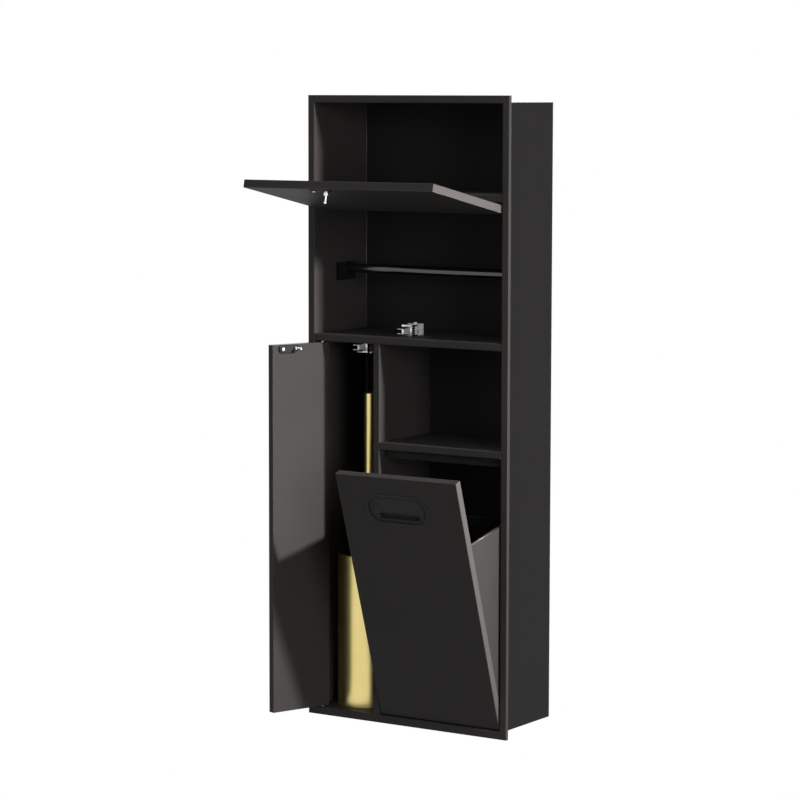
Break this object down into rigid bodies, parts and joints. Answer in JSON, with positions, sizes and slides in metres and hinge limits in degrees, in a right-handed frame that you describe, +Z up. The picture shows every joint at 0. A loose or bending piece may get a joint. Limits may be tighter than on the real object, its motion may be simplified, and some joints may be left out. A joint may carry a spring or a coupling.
{
  "type": "recessed toilet niche",
  "caption": "Tall narrow recessed wall niche with a lift-up flap over a roll bar, a side door hiding a brush, an open shelf and a tilt-out bin.",
  "frame": {"origin": "in the plane of the finished wall (the back of the front frame), on the centre line, level with the bottom of the front frame", "axes": "+X to the right seen from the room, +Y into the wall, +Z up"},
  "size_m": [0.3141, 0.2756, 0.8],
  "materials": {
    "black_coat": "matte black powder coat on sheet steel",
    "bucket_coat": "satin dark grey coat on sheet steel",
    "bar_coat": "satin black coat on steel tube",
    "zinc_pin": "bright steel",
    "bright_plate": "bright nickel plate",
    "black_plastic": "moulded black plastic",
    "pull_plastic": "fine-textured dark plastic",
    "gold_metal": "satin brushed pale gold",
    "liner_plastic": "moulded plastic",
    "bristles": "nylon bristle"
  },
  "bodies": {
    "niche": {"front_frame": "black_coat", "left_side": "black_coat", "right_side": "black_coat", "top_sheet": "black_coat", "bottom_sheet": "black_coat", "back_sheet": "black_coat", "upper_shelf": "black_coat", "roll_shelf": "black_coat", "bin_shelf": "black_coat", "partition": "black_coat", "bin_stop_rail": "black_coat", "bin_stop_studs": "zinc_pin", "flap_pivot_studs": "zinc_pin", "door_pivot_studs": "zinc_pin", "bin_pivot_studs": "zinc_pin", "roll_post_left": "black_coat", "roll_post_right": "black_coat", "brush_holder": "gold_metal", "brush_liner": "liner_plastic", "flap_latch_body": "black_plastic", "flap_latch_collar": "bright_plate", "flap_latch_spring": "zinc_pin", "flap_latch_strap": "bright_plate", "flap_latch_screw": "zinc_pin", "door_latch_body": "black_plastic", "door_latch_collar": "bright_plate", "door_latch_spring": "zinc_pin", "door_latch_strap": "bright_plate", "door_latch_screw": "zinc_pin"},
    "flap": {"flap_pan": "black_coat", "flap_cover": "black_coat", "flap_bushes": "black_plastic", "flap_strike_plate": "black_plastic", "flap_strike_pin": "bright_plate", "flap_strike_screw": "zinc_pin"},
    "door": {"door_pan": "black_coat", "door_cover": "black_coat", "door_bushes": "black_plastic", "door_strike_plate": "black_plastic", "door_strike_pin": "bright_plate", "door_strike_screw": "zinc_pin"},
    "bin": {"bin_pan": "black_coat", "bin_cover": "black_coat", "bin_bucket": "bucket_coat", "bin_bushes": "black_plastic", "bin_pull": "pull_plastic", "bin_pull_screw": "pull_plastic", "bin_stop_pins": "zinc_pin"},
    "flap_jaws": {"flap_latch_jaws": "bright_plate"},
    "door_jaws": {"door_latch_jaws": "bright_plate"},
    "bar": {"roll_bar": "bar_coat", "roll_bar_caps": "black_plastic"},
    "brush": {"brush_handle": "gold_metal", "brush_handle_cap": "gold_metal", "brush_core": "black_plastic", "brush_bristles": "bristles"}
  },
  "joints": [
    {"name": "flap_hinge", "type": "hinge", "parent": "niche", "child": "flap", "pos_m": [0, 0.001, 0.6605], "axis": [1, 0, 0], "range_deg": [0, 101]},
    {"name": "door_hinge", "type": "hinge", "parent": "niche", "child": "door", "pos_m": [-0.132, 0.001, 0.248], "axis": [0, 0, 1], "range_deg": [0, 110]},
    {"name": "bin_hinge", "type": "hinge", "parent": "niche", "child": "bin", "pos_m": [0.05, 0.001, 0.0185], "axis": [-1, 0, 0], "range_deg": [0, 18]},
    {"name": "flap_latch_push", "type": "slide", "parent": "niche", "child": "flap_jaws", "axis": [0, 1, 0], "range_m": [0, 0.004], "stiffness_N_per_m": 500, "springref_m": -0.006},
    {"name": "door_latch_push", "type": "slide", "parent": "niche", "child": "door_jaws", "axis": [0, 1, 0], "range_m": [0, 0.004], "stiffness_N_per_m": 500, "springref_m": -0.006},
    {"name": "roll_bar_lift", "type": "slide", "parent": "niche", "child": "bar", "axis": [0, 0, 1], "range_m": [0, 0.02]},
    {"name": "brush_lift", "type": "slide", "parent": "niche", "child": "brush", "axis": [0, 0, 1], "range_m": [0, 0.05]}
  ]
}
